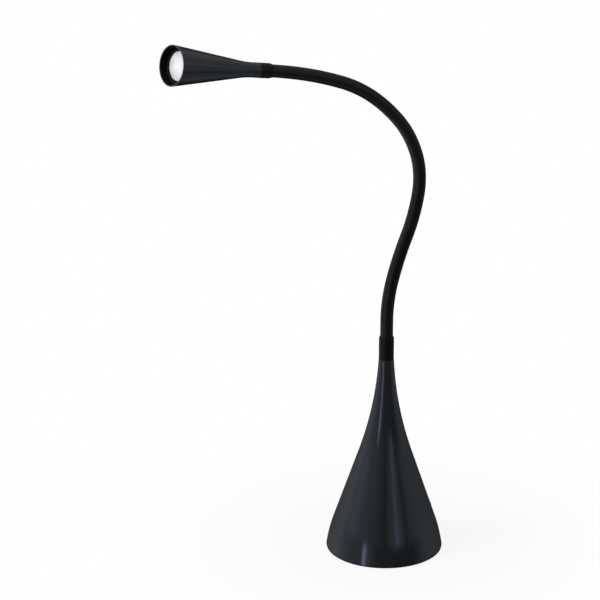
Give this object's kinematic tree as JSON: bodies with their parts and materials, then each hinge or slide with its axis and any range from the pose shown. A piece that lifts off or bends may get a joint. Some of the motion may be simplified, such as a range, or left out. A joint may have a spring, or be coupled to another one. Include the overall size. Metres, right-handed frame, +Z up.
{
  "type": "gooseneck desk lamp",
  "caption": "Free-standing desk lamp with a tall flared weighted base, a sleeved gooseneck that stays where it is bent, and a slim conical spot head.",
  "frame": {"origin": "centre of the foot's underside, on the table", "axes": "+Z up; the neck lies in the XZ plane and the head points towards -X; the switch and the cord entry are on +X"},
  "size_m": [0.3176, 0.1152, 0.5903],
  "materials": {
    "shell_paint": "satin",
    "head_paint": "satin",
    "collar_black": "satin",
    "sleeve_rubber": "matte",
    "hose_steel": "satin",
    "zinc_steel": "satin",
    "cast_iron": "matte",
    "foot_rubber": "matte",
    "board_green": "satin",
    "nylon_white": "satin",
    "core_tape": "satin",
    "capacitor_black": "gloss",
    "terminal_green": "satin",
    "lead_white": "satin",
    "switch_black": "satin",
    "brass": "satin",
    "heatsink_aluminium": "satin",
    "board_white": "satin",
    "cup_white": "gloss",
    "emitter_phosphor": "satin",
    "lens_frost": "satin",
    "bezel_black": "matte"
  },
  "bodies": {
    "base": {"base_shell": "shell_paint", "foot_pad": "foot_rubber", "base_plate": "zinc_steel", "ballast_weight": "cast_iron", "shell_lugs": "zinc_steel", "base_screws": "zinc_steel", "board_standoffs": "nylon_white", "driver_board": "board_green", "driver_transformer": "core_tape", "driver_capacitors": "capacitor_black", "terminal_block": "terminal_green", "cord_grommet": "foot_rubber", "switch_housing": "switch_black", "switch_terminals": "brass", "switch_leads": "lead_white", "lower_collar": "collar_black", "base_ferrule": "zinc_steel", "neck_bush": "brass", "ferrule_locknut": "zinc_steel", "base_lead": "lead_white", "neck_hose_1": "hose_steel", "neck_sleeve_1": "sleeve_rubber", "neck_lead_1": "lead_white"},
    "switch": {"switch_rocker": "switch_black"},
    "neck_2": {"neck_hose_2": "hose_steel", "neck_sleeve_2": "sleeve_rubber", "neck_lead_2": "lead_white"},
    "neck_3": {"neck_hose_3": "hose_steel", "neck_sleeve_3": "sleeve_rubber", "neck_lead_3": "lead_white"},
    "neck_4": {"neck_hose_4": "hose_steel", "neck_sleeve_4": "sleeve_rubber", "neck_lead_4": "lead_white"},
    "neck_5": {"neck_hose_5": "hose_steel", "neck_sleeve_5": "sleeve_rubber", "neck_lead_5": "lead_white"},
    "neck_6": {"neck_hose_6": "hose_steel", "neck_sleeve_6": "sleeve_rubber", "neck_lead_6": "lead_white"},
    "neck_7": {"neck_hose_7": "hose_steel", "neck_sleeve_7": "sleeve_rubber", "neck_lead_7": "lead_white"},
    "neck_8": {"neck_hose_8": "hose_steel", "neck_sleeve_8": "sleeve_rubber", "neck_lead_8": "lead_white"},
    "head": {"head_shell": "head_paint", "upper_collar": "collar_black", "head_ferrule": "zinc_steel", "head_bush": "heatsink_aluminium", "head_locknut": "zinc_steel", "lens_bezel": "bezel_black", "lens": "lens_frost", "reflector_cup": "cup_white", "led_board": "board_white", "led_emitter": "emitter_phosphor", "heatsink": "heatsink_aluminium", "head_lead": "lead_white", "neck_hose_9": "hose_steel", "neck_sleeve_9": "sleeve_rubber", "neck_lead_9": "lead_white"}
  },
  "joints": [
    {"name": "neck_joint_1", "type": "hinge", "parent": "base", "child": "neck_2", "pos_m": [0.00645, 0, 0.28692], "axis": [0.001, -1, 0.0005], "range_deg": [-19.6, 44.4], "deforming": ["neck_sleeve_1", "neck_sleeve_2", "neck_lead_1", "neck_lead_2"]},
    {"name": "neck_joint_2", "type": "hinge", "parent": "neck_2", "child": "neck_3", "pos_m": [0.02222, 0, 0.32855], "axis": [-0.9078, 0, 0.4195], "range_deg": [-32, 32], "deforming": ["neck_sleeve_2", "neck_sleeve_3", "neck_lead_2", "neck_lead_3"]},
    {"name": "neck_joint_3", "type": "hinge", "parent": "neck_3", "child": "neck_4", "pos_m": [0.03565, 0, 0.3709], "axis": [0.001, -1, 0.0005], "range_deg": [-53.3, 10.7], "deforming": ["neck_sleeve_3", "neck_sleeve_4", "neck_lead_3", "neck_lead_4"]},
    {"name": "neck_joint_4", "type": "hinge", "parent": "neck_4", "child": "neck_5", "pos_m": [0.03281, 0, 0.41491], "axis": [0.001, -1, 0.0005], "range_deg": [-56.2, 7.8], "deforming": ["neck_sleeve_4", "neck_sleeve_5", "neck_lead_4", "neck_lead_5"]},
    {"name": "neck_joint_5", "type": "hinge", "parent": "neck_5", "child": "neck_6", "pos_m": [0.01207, 0, 0.45408], "axis": [-0.788, 0, -0.6157], "range_deg": [-32, 32], "deforming": ["neck_sleeve_5", "neck_sleeve_6", "neck_lead_5", "neck_lead_6"]},
    {"name": "neck_joint_6", "type": "hinge", "parent": "neck_6", "child": "neck_7", "pos_m": [-0.01885, 0, 0.48604], "axis": [0.001, -1, 0.0005], "range_deg": [-45.25, 18.75], "deforming": ["neck_sleeve_6", "neck_sleeve_7", "neck_lead_6", "neck_lead_7"]},
    {"name": "neck_joint_7", "type": "hinge", "parent": "neck_7", "child": "neck_8", "pos_m": [-0.05624, 0, 0.51004], "axis": [-0.4305, 0, -0.9026], "range_deg": [-32, 32], "deforming": ["neck_sleeve_7", "neck_sleeve_8", "neck_lead_7", "neck_lead_8"]},
    {"name": "neck_joint_8", "type": "hinge", "parent": "neck_8", "child": "head", "pos_m": [-0.09735, 0, 0.52716], "axis": [0.001, -1, 0.0005], "range_deg": [-37.35, 26.65], "deforming": ["neck_sleeve_8", "neck_sleeve_9", "neck_lead_8", "neck_lead_9"]},
    {"name": "switch_press", "type": "hinge", "parent": "base", "child": "switch", "pos_m": [0.0415, 0, 0.05581], "axis": [0, 1, 0], "range_deg": [0, 20]}
  ]
}
